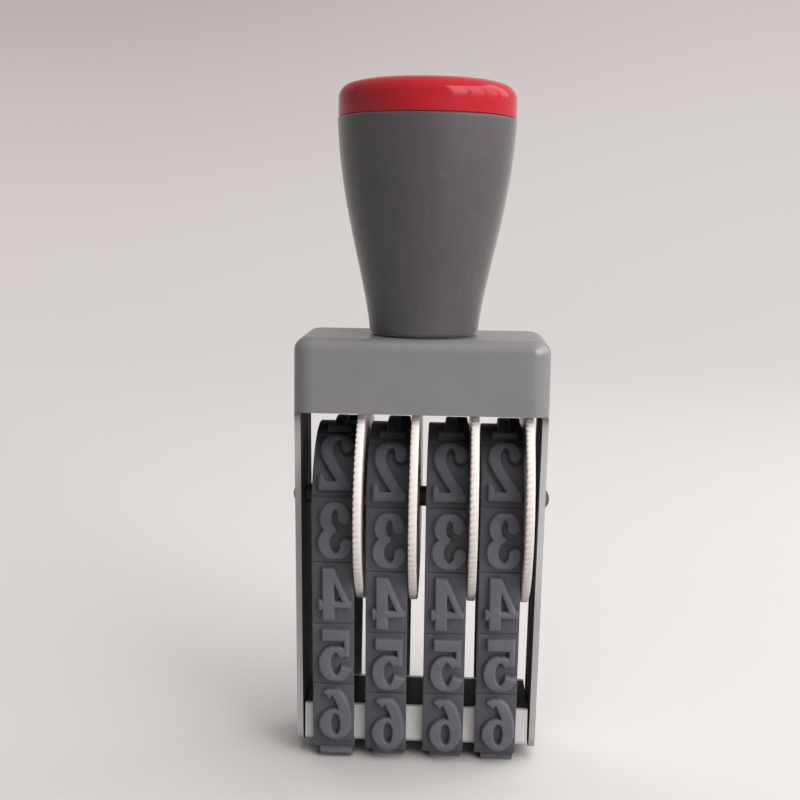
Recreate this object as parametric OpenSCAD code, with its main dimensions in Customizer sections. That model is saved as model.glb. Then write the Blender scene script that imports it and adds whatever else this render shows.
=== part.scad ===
// Rotary number stamp: four rubber figure belts on thumb wheels, in a pressed steel frame with a flared grip.
// Millimetres. X runs along the axle, the front is -Y, Z is up and the figures stand on Z = 0.

/* [Belts] */
// Width of one rubber belt
belt_w = 6.8; // [5:0.1:9]
// Thickness of the belt under the figures
belt_t = 1.5; // [1:0.1:2]
// Height of the raised figures
relief = 1.0; // [0.8:0.1:1.8]
// Length of one figure's field along the belt
field_l = 10.8; // [9:0.1:11]
// Share of one field that a figure fills, top to bottom
fig_fill = 0.83; // [0.7:0.01:0.9]
// Share of the belt width that a figure fills
fig_wide = 0.78; // [0.6:0.01:0.9]
// Plain margin to the right of a figure
fig_margin = 0.35; // [0.1:0.05:1]
// Thick strokes of the figures
fig_thick = 1.85; // [1.2:0.05:2.1]
// Thin strokes of the figures
fig_thin = 0.8; // [0.5:0.05:1]
// How far belt 1 is rolled up from the middle of the printing face
roll_1 = 2.85; // [-3:0.05:3]
// How far belt 2 is rolled up
roll_2 = 1.45; // [-3:0.05:3]
// How far belt 3 is rolled up
roll_3 = 1.55; // [-3:0.05:3]
// How far belt 4 is rolled up
roll_4 = 1.85; // [-3:0.05:3]

/* [Wheels] */
// Radius of the thumb discs
wheel_r = 17.4; // [16:0.1:20]
// Thickness of a thumb disc
disc_t = 1.35; // [1:0.05:2]
// Knurl ridges around a disc
ridges = 105; // [80:1:130]
// Depth of the knurl
knurl_d = 0.32; // [0.2:0.02:0.5]
// Radius of the hub that carries a belt
hub_r = 11.0; // [9:0.1:12]
// Radius of the axle
axle_r = 1.7; // [1.2:0.1:2.2]
// Height of the axle above the printing face
axle_h = 43.8; // [40:0.2:52]
// Height of the riveted heads on the axle's ends
axle_head = 1.15; // [0.6:0.05:1.5]

/* [Frame] */
// Thickness of the sheet
sheet_t = 1.0; // [0.8:0.1:1.4]
// Depth of the pressed cap, front to back
cap_d = 21.6; // [20:0.2:26]
// Height of the front and rear lips
lip_h = 12; // [9:0.5:13]
// Depth of a leg, front to back
leg_d = 14.6; // [12:0.2:15]
// Inward lean of each leg in degrees
leg_lean = 0.65; // [0:0.05:0.8]
// Radius of the cap's corners seen from above
corner_r = 3.2; // [2.8:0.1:4]
// Radius of the bend along the cap's top edges
bend_r = 2.2; // [1.8:0.1:2.6]
// Height of the legs above the printing face
leg_low = 1.9; // [1.5:0.1:3]
// Free height between the discs and the top plate
head_room = 9.2; // [9:0.1:12]

/* [Platen] */
// Depth of the platen, front to back
platen_d = 13.9; // [12:0.1:16]
// Height of the platen
platen_h = 6.5; // [5.5:0.1:8]
// Radius of the platen's lower corners
platen_r = 1.1; // [1:0.1:2]
// Sheet thickness of the platen channel
channel_t = 0.8; // [0.6:0.05:1.2]
// Radius of a platen rivet's head
rivet_r = 3.2; // [2.4:0.1:3.5]

/* [Grip] */
// Radius of the grip at the seam under the red cap
grip_top_r = 14.55; // [13:0.1:17]
// Radius of the grip where it stands on the frame
grip_low_r = 8.95; // [8:0.1:9.6]
// Height of the grip up to the seam
grip_h = 35; // [30:0.5:45]
// Radius of the screw well inside the grip
well_r = 5.2; // [4.8:0.1:5.5]
// Height of the red cap above the seam, without its dome
lid_h = 5.3; // [4.5:0.1:7]
// Rise of the red cap's dome
lid_dome = 0.5; // [0.2:0.1:1]

/* [Hidden] */
$fn = 96;

// clearances
run_gap = 0.08;
bore_gap = 0.05;
seat_gap = 0.02;
side_gap = 0.15;
platen_gap = 0.3;
unit_gap = 0.45;
mid_gap = 0.85;
leg_gap = 1.95;
// the row of wheels sits this far to the right of the frame's middle
row_shift = 0.5;

// row of belts and discs along the axle
unit_w = belt_w + side_gap + disc_t;
row_w = 4 * unit_w + 3 * unit_gap + mid_gap;
frame_w = row_w + 2 * leg_gap + 2 * sheet_t;
belt_lefts = [for (i = [0:3]) row_shift - row_w / 2 + i * (unit_w + unit_gap) + (i > 1 ? mid_gap : 0)];

// heights
platen_low = relief + belt_t + seat_gap;
plate_z = axle_h + wheel_r + head_room + sheet_t;
lip_in = cap_d / 2 - sheet_t;
lip_low = max(plate_z - lip_h, axle_h + sqrt(pow(wheel_r + 0.8, 2) - pow(min(lip_in, wheel_r), 2)));
cap_h = plate_z - lip_low;
fillet_r = (cap_d - leg_d) / 2 - 0.6;
lean_z = lip_low - fillet_r - 0.5;
function lean_at(z) = (lean_z - z) * tan(leg_lean);

// belt path in the YZ plane: hub circle, two straight runs, two platen corners, flat printing face
hub_m = hub_r + run_gap + belt_t / 2;
cor_m = platen_r + seat_gap + belt_t / 2;
cor_y = platen_d / 2 - platen_r;
cor_z = platen_low + platen_r;
rise = axle_h - cor_z;
span = norm([cor_y, rise]);
run_len = sqrt(span * span - pow(hub_m - cor_m, 2));
slope = asin((hub_m - cor_m) / span) - atan(cor_y / rise);
s_cor = cor_y;
s_run = s_cor + cor_m * (90 - slope) * PI / 180;
s_hub = s_run + run_len;
s_top = s_hub + hub_m * (90 + slope) * PI / 180;
loop = 2 * s_top;
fig_h = field_l * fig_fill;
fig_w = belt_w * fig_wide;
sink = 0.15;
// half of the hairline between the straight and the bent piece of one figure
slit = 0.025;
cut_w = 0.36;
cut_d = 0.3;
// least plain length where a belt is joined
joint_l = 3;

// screw stack of the grip
screw_r = 2.4;
screw_gap = 0.2;
screw_end = 1;
screw_head_r = 4.6;
screw_head_h = 3;
screw_dome = 6.2;
slot_w = 1.2;
slot_d = 1.4;
floor_h = 8;
washer_r = 5;
washer_t = 1;
spring_r = 4.3;
spring_t = 1.2;
split_w = 0.6;
nut_h = 4;
nut_af = 8;
stack_z = plate_z - sheet_t - seat_gap;
// rivets of the platen and the axle
rivet_z = platen_low + platen_h / 2;
rivet_h = 0.6;
rivet_dome = 9;
shank_r = 1.5;
shank_in = 5;
head_gap = 0.06;
neck_in = 0.5;
axle_dome = 2.2;
platen_l = frame_w - 2 * sheet_t - 2 * lean_at(platen_low) - 2 * platen_gap;

// tangent angle of the belt path at distance s from the middle of the printing face, for -s_top < s < s_top
function ang_up(s) = s < s_cor ? 180
  : s < s_run ? 180 - (s - s_cor) / cor_m * 180 / PI
  : s < s_hub ? 90 + slope
  : 90 + slope - (s - s_hub) / hub_m * 180 / PI;
function side(a) = [-sin(a), cos(a)];
function ahead(a) = [cos(a), sin(a)];
// point on the middle of the belt at distance s up the front
function pos_up(s) = s < s_cor ? [-s, platen_low - seat_gap - belt_t / 2]
  : s < s_run ? [-cor_y, cor_z] + cor_m * side(ang_up(s))
  : s < s_hub ? [-cor_y, cor_z] + cor_m * side(90 + slope) + (s - s_run) * ahead(90 + slope)
  : [0, axle_h] + hub_m * side(ang_up(s));
function wrap(s) = s > s_top ? s - loop : s < -s_top ? s + loop : s;
function ang_at(s) = let(w = wrap(s)) w >= 0 ? ang_up(w) : -ang_up(-w);
function pos_at(s) = let(w = wrap(s), p = pos_up(abs(w))) w >= 0 ? p : [-p[0], p[1]];

// figure outlines, drawn upright in a box of fig_w by fig_h around the origin
hx = fig_w / 2;
hy = fig_h / 2;
// heights inside a figure are drawn for a figure 9.6 tall and follow fig_h
fu = fig_h / 9.6;
tk = min(fig_thick, hx * 0.75);
tn = fig_thin;
// radius of the balls that end the strokes of 2 and 3
tip_r = tk * 0.54;
function bow(cx, cy, rx, ry, a0, a1, n) = [
  for (i = [0:n])
    let(a = a0 + (a1 - a0) * i / n)
      [cx + rx * cos(a), cy + ry * sin(a)]
];
function heading(p, i) = let(d = p[min(i + 1, len(p) - 1)] - p[max(i - 1, 0)]) d / norm(d);
function pen(d) = (tn + (tk - tn) * abs(d[1])) / 2;
function stroke_side(p, i, k) = let(d = heading(p, i)) p[i] + k * pen(d) * [-d[1], d[0]];
function stroke(p) = concat(
  [for (i = [0:len(p) - 1]) stroke_side(p, i, 1)],
  [for (i = [len(p) - 1:-1:0]) stroke_side(p, i, -1)]
);
function ball(c, r) = bow(c[0], c[1], r, r, 0, 330, 11);
// centre of a ball on the end of a stroke, flush with the stroke's outer edge
function bead(p, i, k, r) = let(d = heading(p, i)) p[i] + k * (r - pen(d)) * [-d[1], d[0]];
function bend(p, q, r, n) = [
  for (i = [1:n])
    let(t = i / n)
      (1 - t) * (1 - t) * p + 2 * t * (1 - t) * q + t * t * r
];
function block(x0, y0, x1, y1) = [[x0, y0], [x1, y0], [x1, y1], [x0, y1]];
function ring_half(cx, cy, rx, ry, a0) = concat(
  bow(cx, cy, rx, ry, a0 - 90, a0 + 90, 16),
  bow(cx, cy, rx - tk, ry - tn, a0 + 90, a0 - 90, 16)
);
cx = hx - tk / 2;
cy = hy - tn / 2;
function turned(list) = [for (p = list) [for (q = p) [-q[0], -q[1]]]];

fig_0 = [ring_half(0, 0, hx, hy, 0), ring_half(0, 0, hx, hy, 180)];
fig_1 = [
  block(-tk / 2, -hy, tk / 2, hy),
  block(-hx * 0.75, -hy, hx * 0.75, -hy + tn),
  [[-tk / 2 + 0.1, hy], [-hx, hy - 1.6 * fu], [-hx, hy - 2.3 * fu], [-tk / 2 + 0.1, hy - 1.7 * fu]]
];
path_2 = bow(0, cy - 2.3 * fu, cx, 2.3 * fu, 172, -15, 14);
foot_2 = -hy + 1.35 * fu;
tip_2 = -hy + 2.5 * fu;
fig_2 = [
  stroke(concat(path_2, bend(path_2[14], [cx * 0.75, -0.2 * fu], [-cx * 0.95, -hy + fu], 10))),
  ball(bead(path_2, 0, -1, tip_r), tip_r),
  [[-hx, -hy], [hx, -hy], [hx, tip_2], [hx - 0.55, tip_2], [hx - 1, foot_2], [-hx, foot_2]]
];
path_3a = bow(-0.1, cy - 2.05 * fu, cx - 0.2, 2.05 * fu, 172, -95, 16);
path_3b = bow(-0.1, -cy + 2.35 * fu, cx + 0.1, 2.35 * fu, 95, -172, 16);
fig_3 = [
  stroke(path_3a),
  stroke(path_3b),
  ball(bead(path_3a, 0, -1, tip_r), tip_r),
  ball(bead(path_3b, 16, -1, tip_r), tip_r)
];
bar_4 = -hy + 2.35 * fu;
fig_4 = [
  block(0.15, -hy, 0.15 + tk, hy),
  block(-hx, bar_4, hx, bar_4 + tn * 1.25),
  [[-hx, bar_4], [-hx + 1.05, bar_4 + 0.1], [0.5, hy - 1.6 * fu], [0.9, hy], [0.15, hy]],
  block(hx - 0.45, -hy + 1.9 * fu, hx, -hy + 3.7 * fu)
];
path_5 = bow(-0.1, -cy + 2.75 * fu, cx + 0.1, 2.75 * fu, 144, -163, 20);
fig_5 = [
  block(-hx + 0.35, hy - tk, hx - 0.55, hy),
  block(-hx + 0.35, -0.2 * fu, -hx + 0.35 + tn, hy - 0.3),
  stroke(path_5)
];
eye_6 = 2.95 * fu;
path_6 = bow(0.55, -hy + eye_6, cx + 0.55, cy + hy - eye_6, 66, 176, 14);
fig_6 = [
  ring_half(0, -hy + eye_6, hx, eye_6, 0),
  ring_half(0, -hy + eye_6, hx, eye_6, 180),
  stroke(path_6)
];
fig_7 = [
  block(-hx, hy - tk, hx, hy),
  block(-hx, hy - 2.6 * fu, -hx + 0.6, hy),
  [
    [hx, hy], [hx, hy - tk], [1.0, 0.2 * fu], [0.55, -hy],
    [-1.35, -hy], [-0.7, -0.3 * fu], [hx - 1.7, hy - tk + 0.1]
  ]
];
top_8 = 2.35 * fu;
low_8 = 2.75 * fu;
fig_8 = [
  ring_half(0, hy - top_8, hx * 0.9, top_8, 0),
  ring_half(0, hy - top_8, hx * 0.9, top_8, 180),
  ring_half(0, -hy + low_8, hx, low_8, 0),
  ring_half(0, -hy + low_8, hx, low_8, 180)
];
fig_dash = [block(-hx * 0.75, -tk / 2, hx * 0.75, tk / 2)];
// fields up the front and up the rear from the printing face; the rest of a belt is its plain joint
FIGS_UP = [fig_7, fig_6, fig_5, fig_4, fig_3, fig_2, fig_1];
FIGS_REAR = [fig_8, turned(fig_6), fig_0, fig_dash];
up_n = len(FIGS_UP);
rear_n = max(0, min(len(FIGS_REAR), floor((loop - joint_l) / field_l) - up_n));

// stretches of the path that a figure can lie on: [start, end, middle radius or 0, arc centre]
STRETCH = [
  [-s_cor, s_cor, 0, [0, 0]],
  [s_cor, s_run, cor_m, [-cor_y, cor_z]],
  [s_run, s_hub, 0, [0, 0]],
  [s_hub, loop - s_hub, hub_m, [0, axle_h]],
  [loop - s_hub, loop - s_run, 0, [0, 0]],
  [loop - s_run, loop - s_cor, cor_m, [cor_y, cor_z]],
  [loop - s_cor, loop + s_cor, 0, [0, 0]]
];

// rounded rectangle seen from above
module plan(w, d, r) {
  square([w - 2 * r, d], center = true);
  square([w, d - 2 * r], center = true);
  for (x = [-1, 1])
    for (y = [-1, 1])
      translate([x * (w / 2 - r), y * (d / 2 - r)])
        circle(r);
}

// box with rounded upright corners and a rounded top edge
module pressed(w, d, h, r, e) {
  linear_extrude(h - e)
    plan(w, d, r);
  linear_extrude(h)
    plan(w - 2 * e, d - 2 * e, r - e);
  for (y = [-1, 1])
    translate([0, y * (d / 2 - e), h - e])
      rotate([0, 90, 0])
        cylinder(r = e, h = w - 2 * r, center = true);
  for (x = [-1, 1])
    translate([x * (w / 2 - e), 0, h - e])
      rotate([90, 0, 0])
        cylinder(r = e, h = d - 2 * r, center = true);
  for (x = [-1, 1])
    for (y = [-1, 1])
      translate([x * (w / 2 - r), y * (d / 2 - r), h - e])
        rotate_extrude()
          intersection() {
            translate([r - e, 0])
              circle(e);
            square([r, e]);
          }
}

// one leg's outline seen from the side, foot at the bottom
module leg_outline(z_low, z_top, foot_r) {
  translate([-leg_d / 2, z_low + foot_r])
    square([leg_d, z_top - z_low - foot_r]);
  translate([-leg_d / 2 + foot_r, z_low])
    square([leg_d - 2 * foot_r, foot_r + 1]);
  for (y = [-1, 1])
    translate([y * (leg_d / 2 - foot_r), z_low + foot_r])
      circle(foot_r);
}

module leg() {
  out = frame_w / 2;
  in = out - sheet_t;
  foot = lean_at(leg_low);
  intersection() {
    rotate([90, 0, 0])
      linear_extrude(leg_d, center = true)
        polygon([
          [out, lip_low + 1],
          [out, lean_z],
          [out - foot, leg_low],
          [in - foot, leg_low],
          [in, lean_z],
          [in, lip_low + 1]
        ]);
    rotate([90, 0, 90])
      linear_extrude(frame_w)
        leg_outline(leg_low, lip_low + 2, 2.6);
  }
  intersection() {
    translate([0, 0, lip_low - fillet_r])
      linear_extrude(fillet_r + 0.2)
        difference() {
          plan(frame_w, cap_d, corner_r);
          plan(frame_w - 2 * sheet_t, cap_d - 2 * sheet_t, corner_r - sheet_t);
        }
    translate([out - corner_r, 0, 0])
      rotate([90, 0, 90])
        linear_extrude(corner_r + 1)
          difference() {
            translate([-leg_d / 2 - fillet_r, lip_low - fillet_r])
              square([leg_d + 2 * fillet_r, fillet_r + 0.2]);
            for (y = [-1, 1])
              translate([y * (leg_d / 2 + fillet_r), lip_low - fillet_r])
                circle(fillet_r);
          }
  }
}

module frame() {
  color([0.45, 0.46, 0.48])
    difference() {
      union() {
        difference() {
          translate([0, 0, lip_low])
            pressed(frame_w, cap_d, cap_h, corner_r, bend_r);
          translate([0, 0, lip_low - 1])
            pressed(
              frame_w - 2 * sheet_t, cap_d - 2 * sheet_t, cap_h + 1 - sheet_t,
              corner_r - sheet_t, bend_r - sheet_t
            );
        }
        leg();
        mirror([1, 0, 0])
          leg();
      }
      translate([0, 0, plate_z - sheet_t - 1])
        cylinder(r = screw_r + screw_gap, h = sheet_t + 2);
      translate([0, 0, axle_h])
        rotate([0, 90, 0])
          cylinder(r = axle_r - neck_in + bore_gap, h = frame_w + 4, center = true);
      translate([0, 0, rivet_z])
        rotate([0, 90, 0])
          cylinder(r = shank_r + bore_gap, h = frame_w + 4, center = true);
    }
}

// radius of the grip at height h above the plate: a slow start, a flare and an almost straight top
function grip_r(h) = let(q = h / grip_h)
  grip_low_r + (grip_top_r - grip_low_r) * (0.375 * (1 - cos(180 * pow(q, 0.8))) + 0.25 * q);

module handle() {
  n = 28;
  color([0.34, 0.33, 0.33])
    translate([0, 0, plate_z + seat_gap])
      rotate_extrude()
        polygon(concat(
          [[screw_r + screw_gap, 0], [grip_low_r - 0.4, 0]],
          [for (i = [0:n]) let(h = 0.4 + (grip_h - 0.7) * i / n) [grip_r(h), h]],
          [[grip_top_r - 0.3, grip_h], [well_r, grip_h], [well_r, floor_h], [screw_r + screw_gap, floor_h]]
        ));
}

module handle_cap() {
  edge_r = 2.4;
  dome_r = pow(grip_top_r, 2) / (2 * lid_dome);
  color([0.72, 0.05, 0.08])
    translate([0, 0, plate_z + grip_h + 3 * seat_gap])
      rotate_extrude()
        difference() {
          union() {
            intersection() {
              union() {
                square([grip_top_r - 0.1, lid_h - edge_r]);
                square([grip_top_r - 0.1 - edge_r, lid_h + lid_dome]);
                translate([grip_top_r - 0.1 - edge_r, lid_h - edge_r])
                  circle(edge_r);
              }
              translate([0, lid_h + lid_dome - dome_r])
                circle(dome_r, $fn = 360);
              square([grip_top_r, lid_h + lid_dome]);
            }
            translate([0, -3.5])
              square([well_r - bore_gap, 4]);
          }
          translate([-1, -4])
            square([well_r - 0.4, 3.2]);
        }
}

module handle_screw() {
  head_z = plate_z + 2 * seat_gap + floor_h;
  low_z = stack_z - washer_t - spring_t - nut_h - screw_end;
  color([0.7, 0.7, 0.7])
    difference() {
      union() {
        translate([0, 0, low_z])
          cylinder(r = screw_r, h = head_z + 1 - low_z);
        translate([0, 0, head_z])
          rotate_extrude()
            intersection() {
              square([screw_head_r, screw_head_h]);
              translate([0, screw_head_h - screw_dome])
                circle(screw_dome);
            }
      }
      translate([-screw_head_r - 1, -slot_w / 2, head_z + screw_head_h - slot_d])
        cube([2 * screw_head_r + 2, slot_w, slot_d + 1]);
    }
}

module plate_washer() {
  color([0.7, 0.7, 0.7])
    translate([0, 0, stack_z - washer_t])
      difference() {
        cylinder(r = washer_r, h = washer_t - seat_gap);
        translate([0, 0, -1])
          cylinder(r = screw_r + screw_gap, h = washer_t + 2);
      }
}

module lock_washer() {
  color([0.6, 0.6, 0.6])
    translate([0, 0, stack_z - washer_t - spring_t])
      difference() {
        cylinder(r = spring_r, h = spring_t - seat_gap);
        translate([0, 0, -1])
          cylinder(r = screw_r + 2 * bore_gap, h = spring_t + 2);
        rotate([0, 0, 40])
          translate([0, -split_w / 2, -1])
            cube([spring_r + 1, split_w, spring_t + 2]);
      }
}

module hex_nut() {
  color([0.7, 0.7, 0.7])
    translate([0, 0, stack_z - washer_t - spring_t - nut_h])
      difference() {
        cylinder(r = nut_af / 2 / cos(30), h = nut_h - seat_gap, $fn = 6);
        translate([0, 0, -1])
          cylinder(r = screw_r + bore_gap, h = nut_h + 2);
      }
}

module axle() {
  rod = frame_w - 2 * sheet_t - 2 * lean_at(axle_h) - 0.2;
  out = frame_w - 2 * lean_at(axle_h);
  color([0.66, 0.66, 0.66])
    translate([0, 0, axle_h])
      rotate([0, 90, 0]) {
        cylinder(r = axle_r, h = rod, center = true);
        cylinder(r = axle_r - neck_in, h = out + 0.4, center = true);
        for (m = [0, 1])
          mirror([0, 0, m])
            translate([0, 0, out / 2 + head_gap])
              rotate_extrude()
                intersection() {
                  square([axle_r, axle_head]);
                  translate([0, axle_head - axle_dome])
                    circle(axle_dome);
                }
      }
}

// knurled disc with the notched hub to its left, the disc's left face at X = 0
module wheel() {
  steps = 2 * ridges;
  difference() {
    union() {
      rotate([90, 0, 90])
        linear_extrude(disc_t)
          polygon([
            for (i = [0:steps - 1])
              let(r = wheel_r - (i % 2) * knurl_d, a = 360 * i / steps)
                [r * cos(a), r * sin(a)]
          ]);
      translate([-belt_w - side_gap, 0, 0])
        rotate([0, 90, 0])
          cylinder(r = hub_r, h = belt_w + side_gap + 0.2);
    }
    translate([-belt_w - side_gap - 1, 0, 0])
      rotate([0, 90, 0]) {
        cylinder(r = axle_r + bore_gap, h = unit_w + 2);
        for (i = [0:11])
          rotate([0, 0, 15 + 30 * i])
            translate([hub_r + 0.3, 0, 0])
              cylinder(r = 1.1, h = 1 + belt_w + side_gap - 0.4, $fn = 24);
      }
  }
}

module set_wheel(i) {
  color([0.88, 0.82, 0.79])
    translate([belt_lefts[i] + belt_w + side_gap, 0, axle_h])
      wheel();
}

module number_wheel_1() {
  set_wheel(0);
}

module number_wheel_2() {
  set_wheel(1);
}

module number_wheel_3() {
  set_wheel(2);
}

module number_wheel_4() {
  set_wheel(3);
}

// area inside the belt path moved out by off, seen along X
module loop_area(off) {
  n = side(90 + slope);
  c = cor_m + off;
  h = hub_m + off;
  translate([0, axle_h])
    circle(h);
  for (y = [-1, 1])
    translate([y * cor_y, cor_z])
      circle(c);
  polygon([
    [h * n[0], axle_h + h * n[1]],
    [-cor_y + c * n[0], cor_z + c * n[1]],
    [-cor_y, cor_z - c],
    [cor_y, cor_z - c],
    [cor_y - c * n[0], cor_z + c * n[1]],
    [-h * n[0], axle_h + h * n[1]]
  ]);
}

// a figure on a straight stretch
module flat_figure(figure, s, lo, hi) {
  a = ang_at((lo + hi) / 2);
  p = pos_at((lo + hi) / 2) + (s - (lo + hi) / 2) * ahead(a);
  translate([0, p[0], p[1]])
    rotate([a, 0, 0])
      translate([0, 0, belt_t / 2 - sink])
        linear_extrude(relief + sink)
          intersection() {
            union()
              for (f = figure)
                polygon([for (q = f) [-q[0], q[1]]]);
            translate([-belt_w, lo - s])
              square([2 * belt_w, hi - lo]);
          }
}

// the same on an arc: the outline is spread to the arc's outer length and cut to the raised layer
// on the hub it is also cut straight, so that no part of it ends above the belt
module bent_figure(figure, s, lo, hi, m, c) {
  mid = (lo + hi) / 2;
  a = ang_at(mid);
  low = m + belt_t / 2;
  top = low + relief;
  half = (hi - lo) / 2 / m * 180 / PI;
  mean = low + relief / 2;
  reach = m == hub_m ? (low - sink / 2) * sin(half) : 2 * top;
  translate([0, c[0], c[1]])
    rotate([a, 0, 0])
      intersection() {
        linear_extrude(top + 1)
          intersection() {
            union()
              for (f = figure)
                polygon([
                  for (q = f)
                    let(t = (s + q[1] - mid) / m * 180 / PI, e = max(-55, min(55, t)))
                      [-q[0], mean * (sin(e) + 0.57 * (t - e) * PI / 180)]
                ]);
            square([2 * belt_w, 2 * reach], center = true);
          }
        rotate([90, 0, 90])
          linear_extrude(2 * belt_w, center = true)
            intersection() {
              difference() {
                circle(top);
                circle(low - sink);
              }
              polygon([[0, 0], [top * 2 * tan(half), top * 2], [-top * 2 * tan(half), top * 2]]);
            }
      }
}

module figure_at(figure, s) {
  for (g = STRETCH)
    let(
      spare = g[2] == hub_m ? relief : 0,
      lo = max(g[0] + slit, s - hy - spare),
      hi = min(g[1] - slit, s + hy + spare)
    )
      if (hi - lo > 0.2 + spare)
        if (g[2] == 0)
          flat_figure(figure, s, lo, hi);
        else
          bent_figure(figure, s, lo, hi, g[2], g[3]);
}

module belt(roll) {
  rotate([90, 0, 90])
    linear_extrude(belt_w)
      difference() {
        loop_area(belt_t / 2);
        loop_area(-belt_t / 2);
        for (k = [-rear_n:up_n])
          let(s = (k - 0.5) * field_l + roll, p = pos_at(s), a = ang_at(s))
            translate(p)
              rotate(a)
                translate([-cut_w / 2, belt_t / 2 - cut_d])
                  square([cut_w, 2]);
      }
  translate([belt_w - fig_margin - hx, 0, 0]) {
    for (k = [0:up_n - 1])
      figure_at(FIGS_UP[k], k * field_l + roll);
    for (k = [1:1:rear_n])
      figure_at(FIGS_REAR[k - 1], loop - k * field_l + roll);
  }
}

module set_belt(i, roll) {
  color([0.3, 0.3, 0.32])
    translate([belt_lefts[i], 0, 0])
      belt(roll);
}

module number_belt_1() {
  set_belt(0, roll_1);
}

module number_belt_2() {
  set_belt(1, roll_2);
}

module number_belt_3() {
  set_belt(2, roll_3);
}

module number_belt_4() {
  set_belt(3, roll_4);
}

// platen outline seen along X, moved in by off
module platen_outline(off) {
  r = max(0.1, platen_r - off);
  w = platen_d - 2 * off;
  translate([-w / 2 + r, platen_low + off])
    square([w - 2 * r, platen_h]);
  translate([-w / 2, platen_low + off + r])
    square([w, platen_h - r]);
  for (y = [-1, 1])
    translate([y * (w / 2 - r), platen_low + off + r])
      circle(r);
}

module below_platen_top() {
  translate([-platen_d, -1])
    square([2 * platen_d, platen_low + platen_h + 1]);
}

module platen_channel() {
  color([0.75, 0.75, 0.74])
    translate([-platen_l / 2, 0, 0])
      rotate([90, 0, 90])
        linear_extrude(platen_l)
          difference() {
            intersection() {
              platen_outline(0);
              below_platen_top();
            }
            platen_outline(channel_t);
          }
}

module platen_core() {
  color([0.08, 0.08, 0.09])
    difference() {
      translate([-platen_l / 2, 0, 0])
        rotate([90, 0, 90])
          linear_extrude(platen_l)
            intersection() {
              platen_outline(channel_t + bore_gap);
              below_platen_top();
            }
      for (x = [-1, 1])
        translate([x * platen_l / 2, 0, rivet_z])
          rotate([0, 90, 0])
            cylinder(r = shank_r + bore_gap, h = 2 * shank_in + 2, center = true);
    }
}

module rivet() {
  out = frame_w / 2 - lean_at(rivet_z);
  translate([out + head_gap, 0, rivet_z])
    rotate([0, 90, 0])
      rotate_extrude()
        intersection() {
          square([rivet_r, rivet_h + 0.1]);
          translate([0, rivet_h - rivet_dome])
            circle(rivet_dome, $fn = 200);
        }
  translate([out - sheet_t - shank_in, 0, rivet_z])
    rotate([0, 90, 0])
      cylinder(r = shank_r, h = sheet_t + shank_in + 0.2);
}

module platen_rivet_left() {
  color([0.6, 0.6, 0.6])
    mirror([1, 0, 0])
      rivet();
}

module platen_rivet_right() {
  color([0.6, 0.6, 0.6])
    rivet();
}

frame();
handle();
handle_cap();
handle_screw();
plate_washer();
lock_washer();
hex_nut();
axle();
number_wheel_1();
number_wheel_2();
number_wheel_3();
number_wheel_4();
number_belt_1();
number_belt_2();
number_belt_3();
number_belt_4();
platen_channel();
platen_core();
platen_rivet_left();
platen_rivet_right();
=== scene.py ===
"""Rotary number stamp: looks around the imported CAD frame.

Shapes are in millimetres. Materials, stage, lamps and camera are in metres, where a name doesn't end in mm.
"""

import math

import bmesh
import bpy
import numpy as np
from mathutils import Matrix, Vector
from mathutils.geometry import delaunay_2d_cdt


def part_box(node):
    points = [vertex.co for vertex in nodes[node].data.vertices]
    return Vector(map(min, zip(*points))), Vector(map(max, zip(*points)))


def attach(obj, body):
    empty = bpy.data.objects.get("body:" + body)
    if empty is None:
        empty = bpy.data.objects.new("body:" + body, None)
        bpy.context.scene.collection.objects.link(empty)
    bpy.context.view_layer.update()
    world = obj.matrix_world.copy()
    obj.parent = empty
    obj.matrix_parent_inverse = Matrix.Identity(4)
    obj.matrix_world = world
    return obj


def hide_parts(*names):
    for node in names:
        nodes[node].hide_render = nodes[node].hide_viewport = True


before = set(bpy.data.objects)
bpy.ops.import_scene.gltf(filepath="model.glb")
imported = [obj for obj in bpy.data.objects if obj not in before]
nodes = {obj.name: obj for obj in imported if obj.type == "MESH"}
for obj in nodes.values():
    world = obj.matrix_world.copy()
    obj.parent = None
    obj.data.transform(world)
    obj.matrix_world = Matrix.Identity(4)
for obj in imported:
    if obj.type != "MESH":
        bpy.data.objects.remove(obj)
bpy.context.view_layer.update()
MM = 0.001

# ---------------------------------------------------------------- sizes of the CAD source, in millimetres
BELT_W, BELT_T, RELIEF = 6.8, 1.5, 1.0
FIELD_L, FIG_FILL, FIG_WIDE, FIG_MARGIN = 10.8, 0.83, 0.78, 0.35
THICK, THIN = 1.85, 0.8
ROLLS = (2.85, 1.45, 1.55, 1.85)
WHEEL_R, DISC_T, RIDGES, KNURL = 17.4, 1.35, 105, 0.32
HUB_R, AXLE_R, AXLE_H = 11.0, 1.7, 43.8
PLATEN_D, PLATEN_R = 13.9, 1.1
RUN_GAP, BORE_GAP, SEAT_GAP, SIDE_GAP, UNIT_GAP, MID_GAP = 0.08, 0.05, 0.02, 0.15, 0.45, 0.85
ROW_SHIFT = 0.5
GRIP_TOP_R, GRIP_LOW_R, GRIP_H, WELL_R = 14.55, 8.95, 35.0, 5.2
LID_H, LID_DOME, SCREW_R, FLOOR_H = 5.3, 0.5, 2.4, 8.0
HEAD_ROOM, SHEET_T, LIP_H = 9.2, 1.0, 12.0
PLATE_Z = AXLE_H + WHEEL_R + HEAD_ROOM + SHEET_T
UNITS = 4  # a unit is a belt with the wheel at its right
UNIT_W = BELT_W + SIDE_GAP + DISC_T
ROW_W = UNITS * UNIT_W + (UNITS - 1) * UNIT_GAP + MID_GAP
BELT_LEFTS = [
    ROW_SHIFT - ROW_W / 2 + i * (UNIT_W + UNIT_GAP) + (MID_GAP if i >= UNITS // 2 else 0)
    for i in range(UNITS)
]

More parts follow.
